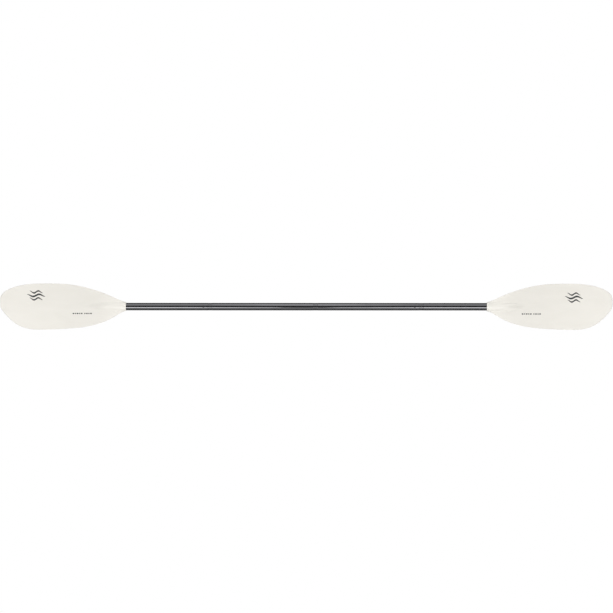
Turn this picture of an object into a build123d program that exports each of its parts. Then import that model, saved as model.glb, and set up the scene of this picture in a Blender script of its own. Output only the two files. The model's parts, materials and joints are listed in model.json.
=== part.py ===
"""Four-piece kayak touring paddle: two spooned blades on a black tube shaft with three push-button joints.

Millimetres. X runs along the shaft (right blade at +X), Y across the blades, Z up out of the power faces.
The origin is under the middle of the paddle, at the height of the surface that it lies on.
"""

import os
from math import cos, radians, sin

from build123d import *

# The whole paddle
PADDLE_LENGTH = 2300
AXIS_HEIGHT = 17.2  # shaft axis above the lowest line of the blade backs

# Shaft tubes
TUBE_RADIUS = 14
TUBE_WALL = 1.5
TUBE_BORE = TUBE_RADIUS - TUBE_WALL

# Blades. Stations run outwards from the neck, where the tube enters.
BLADE_LENGTH = 472.5
NECK_X = PADDLE_LENGTH / 2 - BLADE_LENGTH
NECK_RADIUS = 16.1
SOCKET_DEPTH = 70
SOCKET_CLEARANCE = 0.05
SPINE_THICKNESS = 5.5
EDGE_THICKNESS = 3
SKIN_HALF_WIDTH = 90
OUTLINE_HALF_HEIGHT = 40

# Station and distance from the shaft axis, along the longer and the shorter edge
LONG_EDGE = [(0, NECK_RADIUS), (48, 36), (123, 64), (198, 81.3), (300, 87), (378, 83), (430, 70), (457, 55)]
LONG_EDGE += [(469, 41), (BLADE_LENGTH, 17)]
SHORT_EDGE = [(0, -NECK_RADIUS), (33, -31.5), (78, -55.5), (138, -73.5), (213, -82.5), (310, -87)]
SHORT_EDGE += [(363, -84.5), (408, -69), (445, -38), (467, -11), (BLADE_LENGTH, 17)]

# Station and height of the spooned back above the shaft axis
BACK_CURVE = [(-5, 0), (40, 3), (80, 1.5), (120, -3), (160, -8.5), (200, -13), (240, -16.1)]
BACK_CURVE += [(285, -17.2), (330, -15.6), (370, -11.8), (410, -5.6), (445, 1.8), (480, 10.5)]

# Socket that swells out of the blade: station, half width, top and bottom
SOCKET_SECTIONS = [
    (0, NECK_RADIUS, NECK_RADIUS, -NECK_RADIUS),
    (75, 16.2, 15.9, -15.9),
    (95, 15.4, 13, -15.8),
    (115, 13.6, 7.5, -15.8),
    (135, 11.6, 1.5, -15.8),
    (160, 9, -4.5, -15.9),
    (200, 6, -9.5, -16),
    (245, 3, -13.5, -16.4),
]

# Rivet that fastens each neck to its tube, from the back
RIVET_STATION = 28
RIVET_RADIUS = 2
RIVET_HEAD_RADIUS = 3.6
RIVET_UPSET_RADIUS = 3
RIVET_UPSET_HEIGHT = 1.2
RIVET_UPSET_GAP = 0.4  # keeps the upset end clear of the tube's hollow side

# Push-button joints: the middle of each collar, and which way its ferrule stands out
JOINT_PITCH = 397
CENTRE_JOINT_X = 35
JOINTS = {
    "left": (CENTRE_JOINT_X - JOINT_PITCH, -1),
    "centre": (CENTRE_JOINT_X, 1),
    "right": (CENTRE_JOINT_X + JOINT_PITCH, -1),
}
COLLAR_LENGTH = 16
COLLAR_RADIUS = TUBE_RADIUS - 0.2  # a hair below the tubes, so that clips slide over it
COLLAR_CHAMFER = 0.3
FERRULE_LENGTH = 150
FERRULE_CLEARANCE = 0.05
FERRULE_RADIUS = TUBE_BORE - FERRULE_CLEARANCE
FERRULE_BORE = FERRULE_RADIUS - 1.5
FERRULE_CHAMFER = 0.8
FEATHER_ANGLE = 60

# Snap button: a domed pin on a V of spring strip
BUTTON_OFFSET = 25  # from the middle of the collar
BUTTON_RADIUS = 3.9
BUTTON_HOLE_RADIUS = 4
BUTTON_TOP = 16.4  # crown above the shaft axis
STRIP_THICKNESS = 0.8
STRIP_WIDTH = 9
STRIP_TOP = 9.9  # upper face of the strip under the pin, above the shaft axis
STRIP_TOE = 6
STRIP_BEND = 36
STRIP_BEND_HALF_HEIGHT = 2

# Foam bungs, which keep water out of the tubes
BUNG_CLEARANCE = 0.1
BLADE_PLUG_LENGTH = 25
FERRULE_BUNG_LENGTH = 18
SHAFT_BUNG_LENGTH = 20
SHAFT_BUNG_GAP = 6  # between the ferrule's mouth and the bung in the tube that it enters


def across_plane(x, height=0):
    """A plane square to the shaft, with its own x along Y and its own y upwards."""
    return Plane(origin=(x, 0, AXIS_HEIGHT + height), x_dir=(0, 1, 0), z_dir=(1, 0, 0))


def radial_plane(x, degrees, distance):
    """A plane tangent to the shaft, facing out, turned about the axis from straight up."""
    turn = radians(degrees)
    out = Vector(0, -sin(turn), cos(turn))
    return Plane(origin=Vector(x, 0, AXIS_HEIGHT) + out * distance, x_dir=(1, 0, 0), z_dir=out)


def ring(start_x, end_x, outer, inner, chamfered=0):
    """A length of tube on the shaft axis, with its outer rims chamfered if that is asked for."""
    with BuildPart() as piece:
        with BuildSketch(across_plane(min(start_x, end_x))):
            Circle(outer)
            Circle(inner, mode=Mode.SUBTRACT)
        extrude(amount=abs(end_x - start_x))
        if chamfered:
            rims = piece.edges().filter_by(GeomType.CIRCLE).filter_by(lambda edge: edge.radius > inner + 0.1)
            chamfer(rims, chamfered)
    return piece.part


def plug(start_x, end_x, radius):
    """A foam cylinder on the shaft axis, with soft rims."""
    with BuildPart() as piece:
        with BuildSketch(across_plane(min(start_x, end_x))):
            Circle(radius)
        extrude(amount=abs(end_x - start_x))
        fillet(piece.edges().filter_by(GeomType.CIRCLE), 1)
    return piece.part


def blade():
    """The right blade: a spooned skin cut to the outline, with the socket swelling out of its back."""
    side = Plane(origin=(NECK_X, 0, AXIS_HEIGHT), x_dir=(1, 0, 0), z_dir=(0, -1, 0))
    top = Plane(origin=(NECK_X, 0, AXIS_HEIGHT - OUTLINE_HALF_HEIGHT), x_dir=(1, 0, 0), z_dir=(0, 0, 1))
    rivet_seat = radial_plane(NECK_X + RIVET_STATION, 180, NECK_RADIUS)
    with BuildPart() as piece:
        # the back is the same curve right across, and the face is highest along the middle
        for offset in (-SKIN_HALF_WIDTH, 0, SKIN_HALF_WIDTH):
            thickness = EDGE_THICKNESS if offset else SPINE_THICKNESS
            with BuildSketch(side.offset(offset)):
                with BuildLine():
                    back = Spline(BACK_CURVE)
                    face = Spline([(station, height + thickness) for station, height in BACK_CURVE])
                    Line(back @ 0, face @ 0)
                    Line(back @ 1, face @ 1)
                make_face()
        loft(ruled=True)
        with BuildSketch(top):
            with BuildLine():
                long_edge = Spline(LONG_EDGE, tangents=[(1, 0.3), (0, -1)])
                short_edge = Spline(SHORT_EDGE, tangents=[(1, -0.2), (0, 1)])
                Line(long_edge @ 0, short_edge @ 0)
            make_face()
        extrude(amount=2 * OUTLINE_HALF_HEIGHT, mode=Mode.INTERSECT)
        for station, half_width, crown, keel in SOCKET_SECTIONS:
            with BuildSketch(across_plane(NECK_X + station, (crown + keel) / 2)):
                Ellipse(half_width, (crown - keel) / 2)
        loft(ruled=True)
        with BuildSketch(across_plane(NECK_X)):
            Circle(TUBE_RADIUS + SOCKET_CLEARANCE)
        extrude(amount=SOCKET_DEPTH + SOCKET_CLEARANCE, mode=Mode.SUBTRACT)
        with Locations(rivet_seat):
            CounterSinkHole(RIVET_RADIUS, RIVET_HEAD_RADIUS, depth=NECK_RADIUS - TUBE_BORE)
    return piece.part


def blade_rivet():
    """The right blade's countersunk rivet, with its upset end inside the tube."""
    head_depth = RIVET_HEAD_RADIUS - RIVET_RADIUS
    axis_x = NECK_X + RIVET_STATION
    side = Plane(origin=(axis_x, 0, AXIS_HEIGHT), x_dir=(1, 0, 0), z_dir=(0, -1, 0))
    outer = -NECK_RADIUS + 0.15
    inner = -TUBE_BORE + RIVET_UPSET_GAP
    with BuildPart() as piece:
        with BuildSketch(side):
            with BuildLine():
                Polyline(
                    (0, outer),
                    (RIVET_HEAD_RADIUS - 0.15, outer),
                    (RIVET_RADIUS, -NECK_RADIUS + head_depth),
                    (RIVET_RADIUS, inner),
                    (RIVET_UPSET_RADIUS, inner + RIVET_UPSET_HEIGHT / 2),
                    (RIVET_RADIUS, inner + RIVET_UPSET_HEIGHT),
                    (0, inner + RIVET_UPSET_HEIGHT),
                    close=True,
                )
            make_face()
        revolve(axis=Axis((axis_x, 0, 0), (0, 0, 1)))
    return piece.part


def shaft_tube(start_x, end_x, button_holes, rivet_x=None):
    """A tube with a hole for each (x, angle) that a snap button can come out of, and one for a rivet."""
    with BuildPart() as piece:
        add(ring(start_x, end_x, TUBE_RADIUS, TUBE_BORE))
        for x, degrees in button_holes:
            with Locations(radial_plane(x, degrees, TUBE_RADIUS + 1)):
                Hole(BUTTON_HOLE_RADIUS, depth=TUBE_WALL + 2)
        if rivet_x:
            with Locations(radial_plane(rivet_x, 180, TUBE_RADIUS + 1)):
                Hole(RIVET_RADIUS, depth=TUBE_WALL + 2)
    return piece.part


def ferrule(joint_x, button_x):
    """The glass-fibre sleeve glued into one tube and standing out of its collar into the next."""
    half = FERRULE_LENGTH / 2
    with BuildPart() as piece:
        add(ring(joint_x - half, joint_x + half, FERRULE_RADIUS, FERRULE_BORE, FERRULE_CHAMFER))
        with Locations(radial_plane(button_x, 0, FERRULE_RADIUS + 1)):
            Hole(BUTTON_HOLE_RADIUS, depth=FERRULE_RADIUS - FERRULE_BORE + 3)
    return piece.part


def snap_button(button_x, direction):
    """The domed pin on its V of spring strip, which lies in the ferrule with its bend towards the collar."""
    side = Plane(origin=(button_x, 0, AXIS_HEIGHT), x_dir=(direction, 0, 0), z_dir=(0, -direction, 0))
    centreline = STRIP_TOP - STRIP_THICKNESS / 2
    with BuildPart() as piece:
        with BuildSketch(side):
            with BuildLine():
                FilletPolyline(
                    (STRIP_TOE, centreline),
                    (-STRIP_TOE, centreline),
                    (-STRIP_BEND, STRIP_BEND_HALF_HEIGHT),
                    (-STRIP_BEND, -STRIP_BEND_HALF_HEIGHT),
                    (-STRIP_TOE, -centreline),
                    (0, -centreline),
                    radius=1.5,
                )
            trace(line_width=STRIP_THICKNESS)
        extrude(amount=STRIP_WIDTH / 2, both=True)
        with BuildSketch(Plane.XY.offset(AXIS_HEIGHT + centreline)):
            with Locations((button_x, 0)):
                Circle(BUTTON_RADIUS)
        extrude(amount=BUTTON_TOP - centreline)
        fillet(piece.edges().group_by(Axis.Z)[-1], 2)
    return piece.part


def write(name, piece):
    """Label a finished piece and write it as its own file."""
    piece.label = name
    export_step(piece, f"parts/{name}.step")


os.makedirs("parts", exist_ok=True)

# Tubes, from left to right. Each one ends at the faces of the collars beside it.
joint_at = {name: x for name, (x, direction) in JOINTS.items()}
button_at = {name: x + direction * BUTTON_OFFSET for name, (x, direction) in JOINTS.items()}
half_collar = COLLAR_LENGTH / 2
tube_end = NECK_X + SOCKET_DEPTH
rivet_at = NECK_X + RIVET_STATION
feather_holes = [(button_at["centre"], turn) for turn in (-FEATHER_ANGLE, 0, FEATHER_ANGLE)]

left_tube = shaft_tube(-tube_end, joint_at["left"] - half_collar, [(button_at["left"], 0)], -rivet_at)
right_tube = shaft_tube(joint_at["right"] + half_collar, tube_end, [], rivet_at)
write("left_blade_shaft", left_tube)
write("left_centre_shaft", shaft_tube(joint_at["left"] + half_collar, joint_at["centre"] - half_collar, []))
write(
    "right_centre_shaft",
    shaft_tube(
        joint_at["centre"] + half_collar,
        joint_at["right"] - half_collar,
        feather_holes + [(button_at["right"], 0)],
    ),
)
write("right_blade_shaft", right_tube)

# Blades, rivets and the plugs that close the tubes inside the blades
right_blade = blade()
right_rivet = blade_rivet()
right_plug = plug(tube_end - BLADE_PLUG_LENGTH, tube_end, TUBE_BORE - BUNG_CLEARANCE)
for node, piece in (("blade", right_blade), ("blade_rivet", right_rivet), ("blade_plug", right_plug)):
    write(f"right_{node}", piece)
    write(f"left_{node}", mirror(piece, about=Plane.YZ))

# Joints
for name, (x, direction) in JOINTS.items():
    mouth = x + direction * FERRULE_LENGTH / 2
    root = x - direction * FERRULE_LENGTH / 2
    bung = mouth + direction * SHAFT_BUNG_GAP
    collar_bore = FERRULE_RADIUS + FERRULE_CLEARANCE
    collar = ring(x - half_collar, x + half_collar, COLLAR_RADIUS, collar_bore, COLLAR_CHAMFER)
    ferrule_bung = plug(root, root + direction * FERRULE_BUNG_LENGTH, FERRULE_BORE - BUNG_CLEARANCE)
    shaft_bung = plug(bung, bung + direction * SHAFT_BUNG_LENGTH, TUBE_BORE - BUNG_CLEARANCE)
    write(f"{name}_collar", collar)
    write(f"{name}_ferrule", ferrule(x, button_at[name]))
    write(f"{name}_snap_button", snap_button(button_at[name], direction))
    write(f"{name}_ferrule_bung", ferrule_bung)
    write(f"{name}_shaft_bung", shaft_bung)
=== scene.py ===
import json
import math

import bpy
import numpy as np
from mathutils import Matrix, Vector


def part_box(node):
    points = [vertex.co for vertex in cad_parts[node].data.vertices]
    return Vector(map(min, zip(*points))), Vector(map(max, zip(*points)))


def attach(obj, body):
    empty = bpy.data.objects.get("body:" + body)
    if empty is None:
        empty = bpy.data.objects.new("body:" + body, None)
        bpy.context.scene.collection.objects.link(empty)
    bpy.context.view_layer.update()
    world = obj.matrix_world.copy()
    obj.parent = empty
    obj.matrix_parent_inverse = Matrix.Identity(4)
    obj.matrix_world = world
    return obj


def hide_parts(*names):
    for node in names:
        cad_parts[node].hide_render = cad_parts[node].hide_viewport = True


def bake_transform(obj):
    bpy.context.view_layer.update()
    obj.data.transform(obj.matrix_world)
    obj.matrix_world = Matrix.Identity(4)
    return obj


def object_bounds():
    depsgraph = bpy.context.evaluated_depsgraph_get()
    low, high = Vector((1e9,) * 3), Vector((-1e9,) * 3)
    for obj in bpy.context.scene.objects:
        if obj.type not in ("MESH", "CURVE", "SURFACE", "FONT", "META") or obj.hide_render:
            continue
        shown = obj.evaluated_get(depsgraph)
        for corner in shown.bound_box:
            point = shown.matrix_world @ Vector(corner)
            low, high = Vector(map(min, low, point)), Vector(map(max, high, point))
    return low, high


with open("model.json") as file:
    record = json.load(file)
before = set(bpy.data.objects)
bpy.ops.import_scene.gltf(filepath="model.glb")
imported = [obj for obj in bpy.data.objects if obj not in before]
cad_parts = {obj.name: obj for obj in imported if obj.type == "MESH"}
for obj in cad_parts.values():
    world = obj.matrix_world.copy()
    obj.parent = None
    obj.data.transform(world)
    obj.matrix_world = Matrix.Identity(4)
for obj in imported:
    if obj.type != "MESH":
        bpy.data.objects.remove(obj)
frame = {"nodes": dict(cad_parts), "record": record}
cad_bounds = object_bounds()

# Camera. It looks straight down on the power faces from high above the middle of the shaft, through a long
# lens, and its width takes in the paddle from tip to tip. Everything is in metres, which mm turns
# millimetres into.
mm = 0.001
tube_low, tube_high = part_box("left_centre_shaft")
shaft_z = (tube_low.z + tube_high.z) / 2
tube_radius = (tube_high.z - tube_low.z) / 2
LENS = 135
SENSOR = 36
SIDE_MARGINS = 4.3 * mm
AIM = (0.4 * mm, 0.7 * mm)
CAMERA_TURN = math.radians(0.03)
VIEW_WIDTH = (cad_bounds[1].x - cad_bounds[0].x) + SIDE_MARGINS
camera = bpy.data.objects.new("camera", bpy.data.cameras.new("camera"))
camera.data.lens = LENS
camera.data.sensor_width = SENSOR
camera.data.clip_end = 100
camera.location = (*AIM, shaft_z + VIEW_WIDTH * LENS / SENSOR)
camera.rotation_euler = (0, 0, CAMERA_TURN)
bpy.context.collection.objects.link(camera)
bpy.context.scene.camera = camera
bpy.context.scene.view_settings.view_transform = "Standard"


# Studio. A white light table that runs out of sight, with long soft panels on both sides of the paddle. They
# leave a dark gap overhead, which a round black tube shows as a thin dark line along its top.
def linear(hex_colour):
    """An sRGB hex colour as the linear colour that a shader takes."""
    channels = [int(hex_colour[i : i + 2], 16) / 255 for i in (1, 3, 5)]
    return [c / 12.92 if c <= 0.04045 else ((c + 0.055) / 1.055) ** 2.4 for c in channels] + [1]


def add_node(tree, kind, settings=None, inputs=None):
    """A new node, with its settings, and with its inputs set to values or linked to other nodes' outputs."""
    node = tree.nodes.new("ShaderNode" + kind)
    for name, value in (settings or {}).items():
        setattr(node, name, value)
    for name, value in (inputs or {}).items():
        if isinstance(value, bpy.types.NodeSocket):
            tree.links.new(value, node.inputs[name])
        else:
            node.inputs[name].default_value = value
    return node


def new_material(name):
    """An empty material of that name, and its node tree."""
    material = bpy.data.materials.new(name)
    material.use_nodes = True
    material.node_tree.nodes.clear()
    return material, material.node_tree


def object_space(tree, **mapping):
    """Object coordinates, stretched or turned by the Mapping inputs given, if any."""
    place = add_node(tree, "TexCoord").outputs["Object"]
    if not mapping:
        return place
    return add_node(tree, "Mapping", inputs={"Vector": place, **mapping}).outputs[0]


def noise(tree, space, size, detail, distortion=0):
    """Noise from 0 to 1 with features of that size in metres."""
    inputs = {"Vector": space, "Scale": 1 / size, "Detail": detail, "Distortion": distortion}
    return add_node(tree, "TexNoise", inputs=inputs).outputs["Fac"]


def two_tone(tree, share, low_hex, high_hex):
    """A colour between two hex colours, by a share from 0 to 1."""
    inputs = {0: share, 6: linear(low_hex), 7: linear(high_hex)}
    return add_node(tree, "Mix", {"data_type": "RGBA"}, inputs).outputs[2]


def select_only(piece):
    """Select that piece alone, and make it active."""
    bpy.ops.object.select_all(action="DESELECT")
    piece.select_set(True)
    bpy.context.view_layer.objects.active = piece


def finish_piece(piece, name, material, angle=35):
    """Name a piece, apply its place to its mesh, shade it smooth up to that angle and set its material."""
    piece.name = name
    piece.data.name = name
    select_only(piece)
    bpy.ops.object.transform_apply(location=True, rotation=True, scale=True)
    bpy.ops.object.shade_smooth_by_angle(angle=math.radians(angle))
    piece.data.materials.clear()
    piece.data.materials.append(material)
    return piece


# an opal sheet lit from below, as for cut-out pictures: the camera sees it evenly white all the way out, and
# it lights the paddle only with what it throws back from the panels
FLOOR_SIZE = 160
FLOOR_DROP = 0.1 * mm
FLOOR_MOTTLE = 2 / 3
opal_sheet, tree = new_material("opal light table")
ray = add_node(tree, "LightPath")
tone = two_tone(tree, noise(tree, object_space(tree), FLOOR_MOTTLE, detail=2), "#b0b0af", "#b4b4b3")
shader = add_node(
    tree, "BsdfPrincipled", inputs={"Base Color": tone, "Roughness": 0.9, "Specular IOR Level": 0.1}
)
glow = add_node(tree, "Emission", inputs={"Color": linear("#ffffff"), "Strength": 1.0})
seen = add_node(
    tree, "MixShader", inputs={0: ray.outputs["Is Camera Ray"], 1: shader.outputs["BSDF"], 2: glow.outputs[0]}
)
add_node(tree, "OutputMaterial", inputs={"Surface": seen.outputs[0]})
bpy.ops.object.select_all(action="DESELECT")
bpy.ops.mesh.primitive_plane_add(size=FLOOR_SIZE, location=(0, 0, -FLOOR_DROP))
floor = finish_piece(bpy.context.object, "studio_floor", opal_sheet)

# the room beyond the panels gives only a dim light, and the camera sees it as white as the floor
ROOM_GLOW = 0.04
world = bpy.data.worlds.new("studio")
world.use_nodes = True
world.node_tree.nodes.clear()
bpy.context.scene.world = world
ray = add_node(world.node_tree, "LightPath")
room = add_node(world.node_tree, "Background", inputs={"Color": linear("#ffffff"), "Strength": ROOM_GLOW})
backdrop = add_node(world.node_tree, "Background", inputs={"Color": linear("#ffffff"), "Strength": 1.0})
seen = add_node(
    world.node_tree,
    "MixShader",
    inputs={0: ray.outputs["Is Camera Ray"], 1: room.outputs[0], 2: backdrop.outputs[0]},
)
add_node(world.node_tree, "OutputWorld", inputs={"Surface": seen.outputs[0]})

PANEL_DISTANCE = 2.0


def panel(name, side, from_angle, to_angle, centre_x, length, radiance):
    """A soft panel on side 1 or -1 of the shaft, which sees it between those angles from overhead."""
    middle = math.radians((from_angle + to_angle) / 2)
    width = 2 * PANEL_DISTANCE * math.tan(math.radians((to_angle - from_angle) / 2))
    lamp = bpy.data.lights.new(name, "AREA")
    lamp.shape = "RECTANGLE"
    lamp.size = length
    lamp.size_y = width
    lamp.energy = radiance * math.pi * length * width
    light = bpy.data.objects.new(name, lamp)
    light.location = (
        centre_x,
        side * PANEL_DISTANCE * math.sin(middle),
        shaft_z + PANEL_DISTANCE * math.cos(middle),
    )
    light.rotation_euler = (-side * middle, 0, 0)
    light.visible_camera = False
    bpy.context.collection.objects.link(light)


def panel_row(name, side, from_angle, to_angle, sections):
    """A row of panels, alike towards both ends of the shaft. Each section is two x and its radiance."""
    for from_x, to_x, radiance in sections:
        for end in (-1, 1):
            panel(name, side, from_angle, to_angle, end * (from_x + to_x) / 2, to_x - from_x, radiance)


panel_row("upper_near_panel", 1, 22, 45, [(0, 0.2, 1.5), (0.2, 0.4, 1.25), (0.4, 2.5, 1.0)])
panel_row("upper_far_panel", 1, 45, 84, [(0, 0.25, 2.4), (0.25, 0.45, 2.0), (0.45, 2.5, 1.68)])
panel_row("lower_panel", -1, 17, 84, [(0, 2.5, 0.97)])
panel_row("lower_strip", -1, 17, 40, [(0.12, 0.31, 2.2), (0.31, 0.49, 3.1), (0.49, 1.5, 4.4)])


# Blades. Injection-moulded in one piece each from off-white glass-filled nylon: a spooned skin with a low
# ridge down the middle, and a socket for the shaft that swells out of its back and runs out into it.
def smooth_step(value):
    """From 0 to 1 and level at both ends."""
    value = np.clip(value, 0, 1)
    return value * value * (3 - 2 * value)


def soft_ramp(value, reach):
    """0 below 0 and the value above it, rounded over that reach."""
    return (value + np.sqrt(value * value + reach * reach)) / 2


def smooth_max(first, second, reach):
    """The larger of two heights, with a fillet of that reach where they cross."""
    share = np.clip(0.5 + 0.5 * (first - second) / reach, 0, 1)
    return second + (first - second) * share + reach * share * (1 - share)


# the driving sizes come from the CAD blade: its length, its edges at each station, and the height of its back
cad_mesh = frame["nodes"]["right_blade"].data
cad_points = np.empty(len(cad_mesh.vertices) * 3)
cad_mesh.vertices.foreach_get("co", cad_points)
cad_points = cad_points.reshape(-1, 3)
cad_edges = np.empty(len(cad_mesh.edges) * 2, int)
cad_mesh.edges.foreach_get("vertices", cad_edges)
edge_starts, edge_ends = cad_points[cad_edges.reshape(-1, 2).T]
neck_x, tip_x = cad_points[:, 0].min(), cad_points[:, 0].max()
blade_length = tip_x - neck_x
NEAR = 0.01 * mm
neck_radius = cad_points[cad_points[:, 0] < neck_x + NEAR, 1].max()


def cut_points(station):
    """Where the CAD blade's mesh passes through the plane at that station, as (x, y, z) rows."""
    x = neck_x + station
    crossing = (edge_starts[:, 0] - x) * (edge_ends[:, 0] - x) < 0
    start, end = edge_starts[crossing], edge_ends[crossing]
    share = (x - start[:, 0]) / (end[:, 0] - start[:, 0])
    return start + share[:, None] * (end - start)


BLADE_STATIONS = 180
BLADE_AROUND = 224
EDGE_BAND = 0.4 * mm
SOCKET_REACH = 40 * mm  # the curve of the back is fitted clear of the socket and of the tip
TIP_REACH = 4 * mm
BACK_CURVE_DEGREE = 7
turn = np.linspace(0, math.pi, BLADE_STATIONS + 1)
stations = blade_length * (1 - np.cos(turn)) / 2
long_edge, short_edge, edge_backs = [], [], []
for station in stations[1:-1]:
    cut = cut_points(station)
    long_edge.append(cut[:, 1].max())
    short_edge.append(cut[:, 1].min())
    edge_backs.append(cut[cut[:, 1] > cut[:, 1].max() - EDGE_BAND, 2].min() - shaft_z)
tip_y = cad_points[cad_points[:, 0].argmax(), 1]
long_edge = np.array([neck_radius] + long_edge + [tip_y])
short_edge = np.array([-neck_radius] + short_edge + [tip_y])
fitted = (stations[1:-1] > SOCKET_REACH) & (stations[1:-1] < blade_length - TIP_REACH)
back_curve = np.polynomial.Polynomial.fit(
    stations[1:-1][fitted], np.array(edge_backs)[fitted], BACK_CURVE_DEGREE
)

EDGE_THICKNESS = 3 * mm
RIDGE_THICKNESS = 5.5 * mm
RIDGE_ROUNDING = 7 * mm
SKIN_HALF_WIDTH = 90 * mm
RIM_ROUNDING = 1.6 * mm
SOCKET_RADIUS = 16.2 * mm
SOCKET_KEEL = -15.9 * mm
SOCKET_PARALLEL = 70 * mm  # the crown keeps its height this far, then falls over its run and slopes on down
CROWN_FALL = 22 * mm
CROWN_RUN = 105 * mm
SLOPE_START = 155 * mm
SLOPE_EASE = 10 * mm
CROWN_SLOPE = 0.1
TAPER_START = 85 * mm  # the sides taper from here on
TAPER_EASE = 15 * mm
SIDE_TAPER = 0.088
SOCKET_LEAST = 1.5 * mm
CROWN_LEAST = 0.5 * mm
FLANK = 0.9  # from this share of the half width on, the round goes on straight, as its tangent there
FLANK_HEIGHT = 0.436
FLANK_SLOPE = 2.065
FIRST_STATION = 0.8 * mm
FACE_FILLET = 6 * mm
BACK_FILLET = 8 * mm
NECK_BLEND = 28 * mm


def face_height(station, y):
    """Height of the power face above the shaft axis, without the socket."""
    across = np.sqrt(y * y + RIDGE_ROUNDING**2) - RIDGE_ROUNDING
    thickness = RIDGE_THICKNESS - (RIDGE_THICKNESS - EDGE_THICKNESS) * across / SKIN_HALF_WIDTH
    return back_curve(station) + thickness


def socket_heights(station, y):
    """Half width, top and bottom of the socket there; beyond its sides they run on down its flanks."""
    taper = SIDE_TAPER * soft_ramp(station - TAPER_START, TAPER_EASE)
    half_width = np.maximum(SOCKET_RADIUS - taper, SOCKET_LEAST)
    fall = CROWN_FALL * smooth_step((station - SOCKET_PARALLEL) / CROWN_RUN)
    slope = CROWN_SLOPE * soft_ramp(station - SLOPE_START, SLOPE_EASE)
    crown = np.maximum(neck_radius - fall - slope, SOCKET_KEEL + CROWN_LEAST)
    middle, half_height = (crown + SOCKET_KEEL) / 2, (crown - SOCKET_KEEL) / 2
    share = np.abs(y) / half_width
    flank = FLANK_HEIGHT - FLANK_SLOPE * (share - FLANK)
    profile = np.where(share < FLANK, np.sqrt(1 - np.minimum(share, FLANK) ** 2), flank)
    return half_width, middle + half_height * profile, middle - half_height * profile


def outline_distance(station, y):
    """Distance in the plan from each point to the blade's outline."""
    outline_x = np.concatenate([stations, stations[::-1]])
    outline_y = np.concatenate([long_edge, short_edge[::-1]])
    start = np.stack([outline_x[:-1], outline_y[:-1]], 1)
    along = np.stack([np.diff(outline_x), np.diff(outline_y)], 1)
    lengths = np.maximum((along**2).sum(1), 1e-12)
    nearest = np.full(station.shape, 1.0)
    for (x0, y0), (dx, dy), length in zip(start, along, lengths):
        share = np.clip(((station - x0) * dx + (y - y0) * dy) / length, 0, 1)
        nearest = np.minimum(nearest, np.hypot(station - x0 - share * dx, y - y0 - share * dy))
    return nearest


# the skin starts as a flat grid, rolled into rings: rows from the bore's floor out over the lip to the tip
BORE_RADIUS = 14.05 * mm
BORE_DEPTH = 70.05 * mm
# the bore and the lip as distances from the mouth and from the axis
LIP = [(BORE_DEPTH, 0), (BORE_DEPTH, BORE_RADIUS), (0.5 * mm, BORE_RADIUS), (0, 14.6 * mm), (0, 15.3 * mm)]
LIP += [(0.25 * mm, 15.86 * mm)]
rows = len(LIP) + BLADE_STATIONS
bpy.ops.object.select_all(action="DESELECT")
bpy.ops.mesh.primitive_grid_add(x_subdivisions=rows, y_subdivisions=BLADE_AROUND, size=2)
right_blade = bpy.context.object
points = np.empty(len(right_blade.data.vertices) * 3)
right_blade.data.vertices.foreach_get("co", points)
points = points.reshape(-1, 3)
row = np.rint((points[:, 0] + 1) / 2 * rows).astype(int)
around = np.rint((points[:, 1] + 1) / 2 * BLADE_AROUND).astype(int) % BLADE_AROUND
angle = 2 * math.pi * around / BLADE_AROUND

outer = row >= len(LIP)
station = np.zeros(len(points))
radius = np.full(len(points), neck_radius)
for index, (lip_station, lip_radius) in enumerate(LIP):
    station[row == index] = lip_station
    radius[row == index] = lip_radius
station[outer] = np.maximum(stations[row[outer] - len(LIP)], FIRST_STATION)
y = radius * np.cos(angle)
z = radius * np.sin(angle)

# at the neck the section is the socket's round end, and its height turns into the skin's along the blend
outer_station = station[outer]
high_y = np.interp(outer_station, stations, long_edge)
low_y = np.interp(outer_station, stations, short_edge)
skin_y = (high_y + low_y) / 2 + (high_y - low_y) / 2 * np.cos(angle[outer])
half_width, socket_top, socket_bottom = socket_heights(outer_station, skin_y)
slimming = half_width / SOCKET_RADIUS
top = smooth_max(face_height(outer_station, skin_y), socket_top, FACE_FILLET * slimming)
bottom = -smooth_max(-back_curve(outer_station), -socket_bottom, BACK_FILLET * slimming)
skin_z = np.where(np.sin(angle[outer]) >= 0, top, bottom)
inset = np.clip(outline_distance(outer_station, skin_y) / RIM_ROUNDING, 0, 1)
core = (top + bottom) / 2
skin_z = core + (skin_z - core) * np.sqrt(1 - (1 - inset) ** 2)
blend = smooth_step((outer_station - FIRST_STATION) / NECK_BLEND)
y[outer] = skin_y
z[outer] = z[outer] + blend * (skin_z - z[outer])
points = np.stack([neck_x + station, y, shaft_z + z], 1)
right_blade.data.vertices.foreach_set("co", points.ravel())
right_blade.data.update()


def turn_outwards():
    """Turn all faces of the mesh being edited outwards, and leave edit mode."""
    bpy.ops.mesh.select_all(action="SELECT")
    bpy.ops.mesh.normals_make_consistent(inside=False)
    bpy.ops.object.mode_set(mode="OBJECT")


bpy.ops.object.mode_set(mode="EDIT")
bpy.ops.mesh.select_all(action="SELECT")
bpy.ops.mesh.remove_doubles(threshold=NEAR)
turn_outwards()

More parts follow.
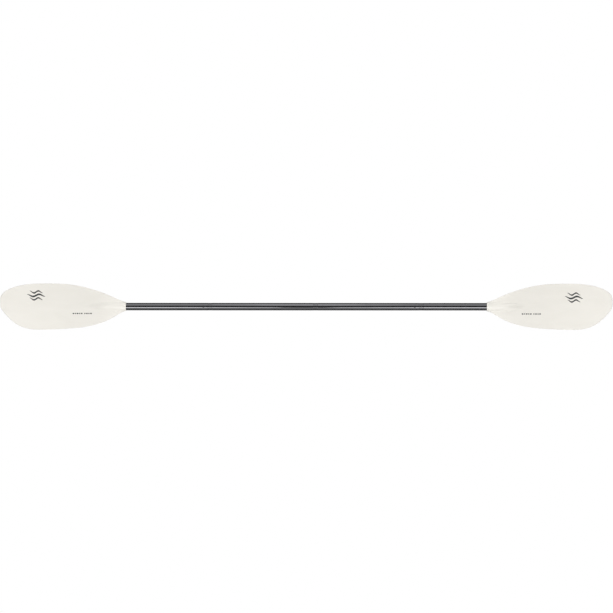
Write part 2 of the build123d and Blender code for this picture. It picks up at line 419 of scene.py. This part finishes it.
# a countersunk seat for the rivet, cut from behind through the socket's wall
rivet_low, rivet_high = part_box("right_blade_rivet")
rivet_x = (rivet_low.x + rivet_high.x) / 2
SEAT_MOUTH = 3.6 * mm
SEAT_THROAT = 2 * mm
SEAT_DEPTH = SEAT_MOUTH - SEAT_THROAT
THROAT_RUN = 2 * mm
CUT_STAND = 1 * mm
ROUND_SIDES = 64
bpy.ops.object.select_all(action="DESELECT")
bpy.ops.mesh.primitive_cone_add(
    vertices=ROUND_SIDES,
    radius1=SEAT_MOUTH + CUT_STAND,
    radius2=SEAT_THROAT,
    depth=SEAT_DEPTH + CUT_STAND,
    location=(rivet_x, 0, shaft_z - neck_radius + (SEAT_DEPTH - CUT_STAND) / 2),
)
seat_cutter = bpy.context.object


def edit_faces(piece, wanted):
    """Open a piece in edit mode with just the wanted faces selected."""
    bpy.ops.object.mode_set(mode="EDIT")
    bpy.ops.mesh.select_mode(type="FACE")
    bpy.ops.mesh.select_all(action="DESELECT")
    bpy.ops.object.mode_set(mode="OBJECT")
    for face in piece.data.polygons:
        face.select = wanted(face)
    bpy.ops.object.mode_set(mode="EDIT")


def is_top(face):
    """Does a face look straight up?"""
    return face.normal.z > 0.9


def cut_away(piece, cutter):
    """Cut one solid out of another with a boolean, and remove the cutter."""
    select_only(piece)
    boolean = piece.modifiers.new("cut", "BOOLEAN")
    boolean.operation = "DIFFERENCE"
    boolean.solver = "MANIFOLD"
    boolean.object = cutter
    bpy.ops.object.modifier_apply(modifier=boolean.name)
    bpy.data.objects.remove(cutter)


edit_faces(seat_cutter, is_top)
bpy.ops.mesh.extrude_region_move(TRANSFORM_OT_translate={"value": (0, 0, THROAT_RUN)})
bpy.ops.object.mode_set(mode="OBJECT")
cut_away(right_blade, seat_cutter)


def roughness_between(tree, share, low, high):
    """A roughness between two, by a share from 0 to 1."""
    return add_node(tree, "MapRange", inputs={"Value": share, "To Min": low, "To Max": high}).outputs[0]


def relief(tree, height, strength, depth):
    """A bump that deep in metres, from a height of 0 to 1."""
    inputs = {"Height": height, "Strength": strength, "Distance": depth}
    return add_node(tree, "Bump", inputs=inputs).outputs[0]


def close_surface(tree, inputs):
    """Give a material its shader, with those inputs, and its output."""
    shader = add_node(tree, "BsdfPrincipled", inputs=inputs)
    add_node(tree, "OutputMaterial", inputs={"Surface": shader.outputs["BSDF"]})


# glass-filled nylon: moulded against a finely blasted steel mould, so it is satin, with short fibres that
# show as a faint speckle and soft flow marks along the blade
FLOW_MARK = 25 * mm
FIBRE = 1.2 * mm
PEBBLE = 0.8 * mm
SPECKLE = 0.12
blade_nylon, tree = new_material("glass-filled nylon, off-white")
pebbles = noise(tree, object_space(tree), PEBBLE, detail=2)
flow = noise(tree, object_space(tree, Scale=(0.3, 1, 1)), FLOW_MARK, detail=3, distortion=0.6)
fibres = add_node(
    tree,
    "TexNoise",
    inputs={"Vector": object_space(tree, Scale=(0.25, 1, 1)), "Scale": 1 / FIBRE, "Detail": 1},
)
tone = add_node(
    tree,
    "Mix",
    {"data_type": "RGBA", "blend_type": "SOFT_LIGHT"},
    {0: SPECKLE, 6: two_tone(tree, flow, "#e6e3db", "#ece9e2"), 7: fibres.outputs["Color"]},
)
close_surface(
    tree,
    {
        "Base Color": tone.outputs[2],
        "Roughness": roughness_between(tree, flow, low=0.36, high=0.48),
        "IOR": 1.53,
        "Normal": relief(tree, pebbles, strength=0.15, depth=0.05 * mm),
    },
)


def mirrored(piece):
    """A copy of a finished piece on the other side of the paddle's middle, its faces turned outwards."""
    twin = piece.copy()
    twin.data = piece.data.copy()
    bpy.context.collection.objects.link(twin)
    twin.data.transform(((-1, 0, 0, 0), (0, 1, 0, 0), (0, 0, 1, 0), (0, 0, 0, 1)))
    twin.data.flip_normals()
    return twin


finish_piece(right_blade, "right_blade_skin", blade_nylon, angle=40)
left_blade = mirrored(right_blade)
left_blade.name = left_blade.data.name = "left_blade_skin"
for blade, side in ((left_blade, "left"), (right_blade, "right")):
    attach(blade, f"{side}_blade_section")
    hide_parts(f"{side}_blade")


# Printed marks. Pad-printed in dark grey ink on each power face, read the same way up on both: a badge of
# three stacked waves near the tip, and a thin broken rule nearer to the shaft.
INK_LIFT = 0.05 * mm
INK_THICKNESS = 0.08 * mm
INK_PATCH = 3 * mm
PRINT_HEIGHT = 0.1  # strokes are drawn this far above the shaft axis, then laid down on the blade
# the ink film is a little thinner in places, so the eye sees a slight unevenness of tone
ink, tree = new_material("pad-printed ink, dark grey")
film = noise(tree, object_space(tree), INK_PATCH, detail=2)
close_surface(tree, {"Base Color": two_tone(tree, film, "#2f3031", "#3d3e3f"), "Roughness": 0.5})


def print_on(strokes, name, blade, body):
    """Join ink strokes, lay them on a blade's power face, thicken the ink and let it ride there."""
    bpy.ops.object.select_all(action="DESELECT")
    for stroke in strokes:
        stroke.select_set(True)
    bpy.context.view_layer.objects.active = strokes[0]
    bpy.ops.object.join()
    mark = bpy.context.object
    bpy.ops.object.transform_apply(location=True, rotation=True, scale=True)
    wrap = mark.modifiers.new("lay on the blade", "SHRINKWRAP")
    wrap.target = blade
    wrap.wrap_method = "PROJECT"
    wrap.use_project_z = True
    wrap.use_negative_direction = True
    wrap.use_positive_direction = False
    wrap.offset = INK_LIFT
    film_thickness = mark.modifiers.new("ink film", "SOLIDIFY")
    film_thickness.thickness = INK_THICKNESS
    film_thickness.offset = 1
    for modifier in ("lay on the blade", "ink film"):
        bpy.ops.object.modifier_apply(modifier=modifier)
    finish_piece(mark, name, ink)
    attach(mark, body)


WAVE_LENGTH = 68 * mm
WAVE_HEIGHT = 4 * mm
WAVE_SPACING = 13 * mm
WAVE_WIDTH = 6 * mm
WAVE_TAPER = 0.6
POINT_WIDTH = 0.02
OUTER_WAVES = 0.72  # length of the upper and lower wave, and width of the middle one, against the others
MIDDLE_WIDTH = 1.2


def wave_stroke(centre_x, centre_y, length, width):
    """One wave-shaped stroke, thickest in the middle and pointed at both ends."""
    bpy.ops.object.select_all(action="DESELECT")
    bpy.ops.mesh.primitive_grid_add(
        x_subdivisions=56, y_subdivisions=2, size=1, location=(centre_x, centre_y, shaft_z + PRINT_HEIGHT)
    )
    stroke = bpy.context.object
    for vertex in stroke.data.vertices:
        share = vertex.co.x  # from -0.5 to 0.5
        crest = WAVE_HEIGHT * math.sin(3 * math.pi * share)
        fullness = max(math.cos(math.pi * share), POINT_WIDTH) ** WAVE_TAPER
        vertex.co.x = share * length
        vertex.co.y = crest + vertex.co.y * width * fullness
    return stroke


RULE_HEIGHT = 4.2 * mm
RULE_GAP = 2.8 * mm
RULE_GROUPS = [(6, 4, 6, 4, 6), (4, 6, 4, 6)]  # lengths of the dashes, in two groups
GROUP_GAP = 7 * mm
RULE_GAPS = sum(len(group) - 1 for group in RULE_GROUPS)
RULE_LENGTH = sum(map(sum, RULE_GROUPS)) * mm + RULE_GAPS * RULE_GAP + GROUP_GAP


def rule_dash(start_x, centre_y, length):
    """One dash of the broken rule."""
    bpy.ops.object.select_all(action="DESELECT")
    bpy.ops.mesh.primitive_grid_add(
        x_subdivisions=4,
        y_subdivisions=2,
        size=1,
        location=(start_x + length / 2, centre_y, shaft_z + PRINT_HEIGHT),
    )
    dash = bpy.context.object
    for vertex in dash.data.vertices:
        vertex.co.x *= length
        vertex.co.y *= RULE_HEIGHT
    return dash


# where the marks are centred: blade, side, badge x, badge y, rule x, rule y
MARKS = [
    (left_blade, "left", -1017 * mm, 42 * mm, -843 * mm, -26 * mm),
    (right_blade, "right", 1007 * mm, 35 * mm, 846 * mm, -27 * mm),
]
for blade, side, badge_x, badge_y, rule_x, rule_y in MARKS:
    waves = [
        wave_stroke(badge_x, badge_y + WAVE_SPACING, OUTER_WAVES * WAVE_LENGTH, WAVE_WIDTH),
        wave_stroke(badge_x, badge_y, WAVE_LENGTH, MIDDLE_WIDTH * WAVE_WIDTH),
        wave_stroke(badge_x, badge_y - WAVE_SPACING, OUTER_WAVES * WAVE_LENGTH, WAVE_WIDTH),
    ]
    print_on(waves, f"{side}_wave_badge", blade, f"{side}_blade_section")
    dashes = []
    dash_x = rule_x - RULE_LENGTH / 2
    for group in RULE_GROUPS:
        for dash_length in group:
            dashes.append(rule_dash(dash_x, rule_y, dash_length * mm))
            dash_x += dash_length * mm + RULE_GAP
        dash_x += GROUP_GAP - RULE_GAP
    print_on(dashes, f"{side}_broken_rule", blade, f"{side}_blade_section")


# Shaft tubes. Drawn aluminium tube, 28 mm across with a 1.5 mm wall, black anodised, in four lengths. Holes
# are drilled for the snap buttons, three of them round the centre joint for the feather angles, and for the
# rivets.
TUBE_SIDES = 128
SAME_PLACE = 1e-6


def same_circle(mesh, edge):
    """Does an edge lie along a circle round the shaft axis, and not across the wall?"""
    first, second = (mesh.vertices[index].co for index in edge.vertices)
    reach = [math.hypot(point.y, point.z - shaft_z) for point in (first, second)]
    return abs(reach[0] - reach[1]) < SAME_PLACE


def is_end(face):
    """Does a face look along the shaft?"""
    return abs(face.normal.x) > 0.9


def tube(start_x, end_x, outer_radius, bore_radius, rounding, segments=3):
    """A length of tube on the shaft axis: a cylinder whose ends are inset, bridged and rounded."""
    bpy.ops.object.select_all(action="DESELECT")
    bpy.ops.mesh.primitive_cylinder_add(
        vertices=TUBE_SIDES,
        radius=outer_radius,
        depth=end_x - start_x,
        location=((start_x + end_x) / 2, 0, shaft_z),
        rotation=(0, math.pi / 2, 0),
    )
    piece = bpy.context.object
    bpy.ops.object.transform_apply(location=True, rotation=True, scale=True)
    edit_faces(piece, is_end)
    bpy.ops.mesh.inset(thickness=outer_radius - bore_radius, use_even_offset=True)
    bpy.ops.mesh.bridge_edge_loops()
    bpy.ops.mesh.select_mode(type="EDGE")
    bpy.ops.mesh.select_all(action="DESELECT")
    bpy.ops.object.mode_set(mode="OBJECT")
    spots = [vertex.co.x for vertex in piece.data.vertices]
    for edge in piece.data.edges:
        first, second = (spots[index] for index in edge.vertices)
        at_end = min(abs(first - start_x), abs(first - end_x)) < SAME_PLACE
        edge.select = at_end and abs(first - second) < SAME_PLACE and same_circle(piece.data, edge)
    bpy.ops.object.mode_set(mode="EDIT")
    bpy.ops.mesh.bevel(offset=rounding, segments=segments, affect="EDGES")
    # a loop just inside each end keeps the rounding's shading out of the long straight faces
    for loop_x in (start_x + 2 * rounding, end_x - 2 * rounding):
        bpy.ops.mesh.select_all(action="SELECT")
        bpy.ops.mesh.bisect(plane_co=(loop_x, 0, 0), plane_no=(1, 0, 0))
    turn_outwards()
    return piece


SEAM_REACH = 1.8  # from a hole's middle, in radii of the hole


def drill(piece, drilled, from_radius, to_radius):
    """Drill radial holes into a tube: for each its x, its angle from straight up and its radius."""
    # a loop on each side of a hole keeps its shading out of the long straight faces
    seams = sorted({x + side * SEAM_REACH * reach for x, degrees, reach in drilled for side in (-1, 1)})
    select_only(piece)
    bpy.ops.object.mode_set(mode="EDIT")
    for seam_x in seams:
        bpy.ops.mesh.select_all(action="SELECT")
        bpy.ops.mesh.bisect(plane_co=(seam_x, 0, 0), plane_no=(1, 0, 0))
    bpy.ops.object.mode_set(mode="OBJECT")
    bpy.ops.object.select_all(action="DESELECT")
    drills = []
    for x, degrees, hole_radius in drilled:
        angle = math.radians(degrees)
        out = Vector((0, -math.sin(angle), math.cos(angle)))
        bpy.ops.mesh.primitive_cylinder_add(
            vertices=ROUND_SIDES,
            radius=hole_radius,
            depth=to_radius - from_radius,
            location=Vector((x, 0, shaft_z)) + out * (from_radius + to_radius) / 2,
            rotation=(angle, 0, 0),
        )
        drills.append(bpy.context.object)
    for bit in drills:
        bit.select_set(True)
    bpy.ops.object.join()
    cut_away(piece, bpy.context.object)


DRAWN_LINE = 0.9 * mm
DYE_PATCH = 60 * mm
METAL_EDGE = "#8a8a8c"
# drawing through a die leaves fine lines along the tube, a little coarser here than they are so that they
# show, and the dye takes a little unevenly
shaft_aluminium, tree = new_material("black anodised drawn aluminium")
dye = noise(tree, object_space(tree), DYE_PATCH, detail=2)
lines = noise(tree, object_space(tree, Scale=(0.02, 1, 1)), DRAWN_LINE, detail=3)
close_surface(
    tree,
    {
        "Base Color": two_tone(tree, dye, "#5a5a5c", "#5f5f61"),
        "Metallic": 1.0,
        "Specular Tint": linear(METAL_EDGE),
        "Roughness": roughness_between(tree, lines, low=0.07, high=0.11),
        "Normal": relief(tree, lines, strength=0.05, depth=0.02 * mm),
    },
)

TUBE_WALL = 1.5 * mm
TUBE_ROUNDING = 0.35 * mm
BUTTON_HOLE = 4 * mm
RIVET_HOLE = 2 * mm
CROWN_DEPTH = 1 * mm  # this much of a button's top shows where its pin stands
TUBE_DRILL = (9 * mm, 17 * mm)  # the radii that the drill runs between
button_x = {}
for joint in ("left", "centre", "right"):
    button_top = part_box(f"{joint}_snap_button")[1].z
    button_mesh = frame["nodes"][f"{joint}_snap_button"].data
    crown = [vertex.co.x for vertex in button_mesh.vertices if vertex.co.z > button_top - CROWN_DEPTH]
    button_x[joint] = (min(crown) + max(crown)) / 2
holes = {
    "left_blade_shaft": [(button_x["left"], 0, BUTTON_HOLE), (-rivet_x, 180, RIVET_HOLE)],
    "left_centre_shaft": [],
    "right_centre_shaft": [(button_x["centre"], turned, BUTTON_HOLE) for turned in (-60, 0, 60)]
    + [(button_x["right"], 0, BUTTON_HOLE)],
    "right_blade_shaft": [(rivet_x, 180, RIVET_HOLE)],
}
bodies = {node: body for body, nodes in frame["record"]["behaviour"]["bodies"].items() for node in nodes}
for node, drilled in holes.items():
    low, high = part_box(node)
    piece = tube(low.x, high.x, tube_radius, tube_radius - TUBE_WALL, TUBE_ROUNDING)
    if drilled:
        drill(piece, drilled, *TUBE_DRILL)
    finish_piece(piece, f"{node}_tube", shaft_aluminium)
    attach(piece, bodies[node])
    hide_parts(node)


# Ferrules. Wound glass-fibre tube, ground to size on the outside, glued into one length of shaft and sliding
# into the next. Each has one hole, for its snap button.
WINDING = 5 * mm
WINDING_TURN = 0.9
GRIND_LINE = 0.5 * mm
# glass windings show through the dark resin as slanting bands, and the grinding wheel leaves rings round the
# tube
ferrule_laminate, tree = new_material("ground glass-fibre laminate")
windings = add_node(
    tree,
    "TexWave",
    {"wave_type": "BANDS", "bands_direction": "X"},
    {
        "Vector": object_space(tree, Rotation=(0, 0, WINDING_TURN)),
        "Scale": math.pi / 10 / WINDING,
        "Distortion": 0.6,
        "Detail": 2,
    },
)
rings = noise(tree, object_space(tree, Scale=(1, 0.03, 0.03)), GRIND_LINE, detail=2)
close_surface(
    tree,
    {
        "Base Color": two_tone(tree, windings.outputs["Fac"], "#2c2e29", "#44463c"),
        "Roughness": roughness_between(tree, rings, low=0.25, high=0.45),
        "IOR": 1.54,
        "Normal": relief(tree, rings, strength=0.1, depth=0.02 * mm),
    },
)

FERRULE_WALL = 1.5 * mm
FERRULE_ROUNDING = 0.6 * mm
FERRULE_DRILL = (8 * mm, 15 * mm)
for joint in button_x:
    low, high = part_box(f"{joint}_ferrule")
    ferrule_radius = (high.z - low.z) / 2
    piece = tube(
        low.x, high.x, ferrule_radius, ferrule_radius - FERRULE_WALL, FERRULE_ROUNDING, segments=4
    )
    drill(piece, [(button_x[joint], 0, BUTTON_HOLE)], *FERRULE_DRILL)
    finish_piece(piece, f"{joint}_ferrule_sleeve", ferrule_laminate)
    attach(piece, bodies[f"{joint}_ferrule"])
    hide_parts(f"{joint}_ferrule")


# Collars. Turned aluminium rings, black anodised, that cover the joints between tubes and take the knocks
# when they close. They stand a hair below the tubes, so that clips slide over them.
TURNED_LINE = 0.6 * mm
COLLAR_ROUNDING = 0.5 * mm
# turning leaves rings round the collar, which spread its highlights a little along the shaft
collar_aluminium, tree = new_material("black anodised turned aluminium")
rings = noise(tree, object_space(tree, Scale=(1, 0.03, 0.03)), TURNED_LINE, detail=2)
close_surface(
    tree,
    {
        "Base Color": two_tone(tree, rings, "#545456", "#5a5a5c"),
        "Metallic": 1.0,
        "Specular Tint": linear(METAL_EDGE),
        "Roughness": roughness_between(tree, rings, low=0.14, high=0.22),
        "Normal": relief(tree, rings, strength=0.06, depth=0.02 * mm),
    },
)

for joint in button_x:
    low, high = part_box(f"{joint}_collar")
    collar_radius = (high.z - low.z) / 2
    piece = tube(low.x, high.x, collar_radius, tube_radius - TUBE_WALL, COLLAR_ROUNDING, segments=4)
    finish_piece(piece, f"{joint}_collar_ring", collar_aluminium)
    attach(piece, bodies[f"{joint}_collar"])
    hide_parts(f"{joint}_collar")


# Snap buttons and rivets. Each button is a domed pin riveted to a V of spring strip, blackened after
# hardening, that lies inside its ferrule and closes up as the pin is pressed. The blades' rivets are plain
# stainless countersunk ones.
STEEL_LINE = 0.5 * mm


def steel(name, low_hex, high_hex, low_roughness, high_roughness):
    """Steel with fine turning or rolling lines, which spread its highlights."""
    material, tree = new_material(name)
    lines = noise(tree, object_space(tree), STEEL_LINE, detail=3)
    close_surface(
        tree,
        {
            "Base Color": two_tone(tree, lines, low_hex, high_hex),
            "Metallic": 1.0,
            "Roughness": roughness_between(tree, lines, low_roughness, high_roughness),
            "Normal": relief(tree, lines, strength=0.1, depth=0.02 * mm),
        },
    )
    return material


button_steel = steel("blackened spring steel", "#3a3a3c", "#464648", 0.22, 0.34)
rivet_steel = steel("stainless rivet wire", "#aeadaa", "#bdbcb9", 0.28, 0.42)
STRIP_THICKNESS = 0.8 * mm
STRIP_WIDTH = 9 * mm
STRIP_BEND = 1.5 * mm
STRAIGHT_STEPS = 12
BEND_STEPS = 6
PIN_RADIUS = 3.9 * mm
PIN_ROUNDING = 2 * mm
# the strip's corners as it stands at rest: distance from the pin towards the tip of the ferrule, height
STRIP_CORNERS = [(6, 9.5), (-6, 9.5), (-36, 2), (-36, -2), (-6, -9.5), (0, -9.5)]


def strip_path(corners, rounding):
    """Points along a strip bent at those corners, each bend rounded and each straight in equal steps."""
    even = [step / STRAIGHT_STEPS for step in range(1, STRAIGHT_STEPS)]
    corners = [Vector(corner) * mm for corner in corners]
    path = [corners[0]]
    for before, corner, after in zip(corners, corners[1:], corners[2:]):
        arrive = corner + (before - corner).normalized() * rounding
        leave = corner + (after - corner).normalized() * rounding
        path += [path[-1].lerp(arrive, share) for share in even]
        for step in range(BEND_STEPS + 1):
            share = step / BEND_STEPS
            path.append(arrive.lerp(corner, share).lerp(corner.lerp(leave, share), share))
    path += [path[-1].lerp(corners[-1], share) for share in even + [1]]
    return path


def snap_button(pin_x, pin_top, outwards):
    """A strip bent from a flat grid and thickened, joined to a cylinder with a rounded crown."""
    path = strip_path(STRIP_CORNERS, STRIP_BEND)
    bpy.ops.object.select_all(action="DESELECT")
    bpy.ops.mesh.primitive_grid_add(x_subdivisions=len(path) - 1, y_subdivisions=6, size=2)
    strip = bpy.context.object
    for vertex in strip.data.vertices:
        along, height = path[round((vertex.co.x + 1) / 2 * (len(path) - 1))]
        across = vertex.co.y * STRIP_WIDTH / 2
        vertex.co = (pin_x + outwards * along, across, shaft_z + height)
    solidify = strip.modifiers.new("strip thickness", "SOLIDIFY")
    solidify.thickness = STRIP_THICKNESS
    solidify.offset = 0
    bpy.ops.object.modifier_apply(modifier=solidify.name)
    pin_foot = shaft_z + STRIP_CORNERS[0][1] * mm
    bpy.ops.object.select_all(action="DESELECT")
    bpy.ops.mesh.primitive_cylinder_add(
        vertices=ROUND_SIDES,
        radius=PIN_RADIUS,
        depth=pin_top - pin_foot,
        location=(pin_x, 0, (pin_top + pin_foot) / 2),
    )
    pin = bpy.context.object
    bpy.ops.object.transform_apply(location=True, rotation=True, scale=True)
    edit_faces(pin, is_top)
    bpy.ops.mesh.region_to_loop()
    bpy.ops.mesh.bevel(offset=PIN_ROUNDING, segments=6, affect="EDGES")
    bpy.ops.object.mode_set(mode="OBJECT")
    strip.select_set(True)
    bpy.ops.object.join()
    bpy.ops.object.mode_set(mode="EDIT")
    turn_outwards()
    return pin


for joint in button_x:
    outwards = 1 if button_x[joint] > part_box(f"{joint}_collar")[1].x else -1
    piece = snap_button(button_x[joint], button_top, outwards)
    finish_piece(piece, f"{joint}_button_on_strip", button_steel, angle=40)
    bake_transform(piece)
    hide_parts(f"{joint}_snap_button")
for side in ("left", "right"):
    frame["nodes"][f"{side}_blade_rivet"].data.materials.clear()
    frame["nodes"][f"{side}_blade_rivet"].data.materials.append(rivet_steel)


# Foam bungs and plugs. Cut from closed-cell polyethylene foam and pushed into the tubes, so that the paddle
# floats. The cut cells are under a millimetre across, and give a matt, open face, speckled by painted shade:
# the colour is darker down in each cell and lighter on the rims of its walls.
FOAM_CELL = 0.7 * mm
foam, tree = new_material("closed-cell polyethylene foam, charcoal")
cells = add_node(tree, "TexVoronoi", inputs={"Vector": object_space(tree), "Scale": 1 / FOAM_CELL})
# the cells' relief drives the bump, and also paints the colour darker down in each cell: painted shade
cell_relief_and_painted_shade = cells.outputs["Distance"]
close_surface(
    tree,
    {
        "Base Color": two_tone(tree, cell_relief_and_painted_shade, "#3c3d3f", "#606164"),
        "Roughness": 0.9,
        "Normal": relief(tree, cell_relief_and_painted_shade, strength=0.6, depth=0.2 * mm),
    },
)
for node in frame["nodes"]:
    if node.endswith(("_bung", "_plug")):
        frame["nodes"][node].data.materials.clear()
        frame["nodes"][node].data.materials.append(foam)
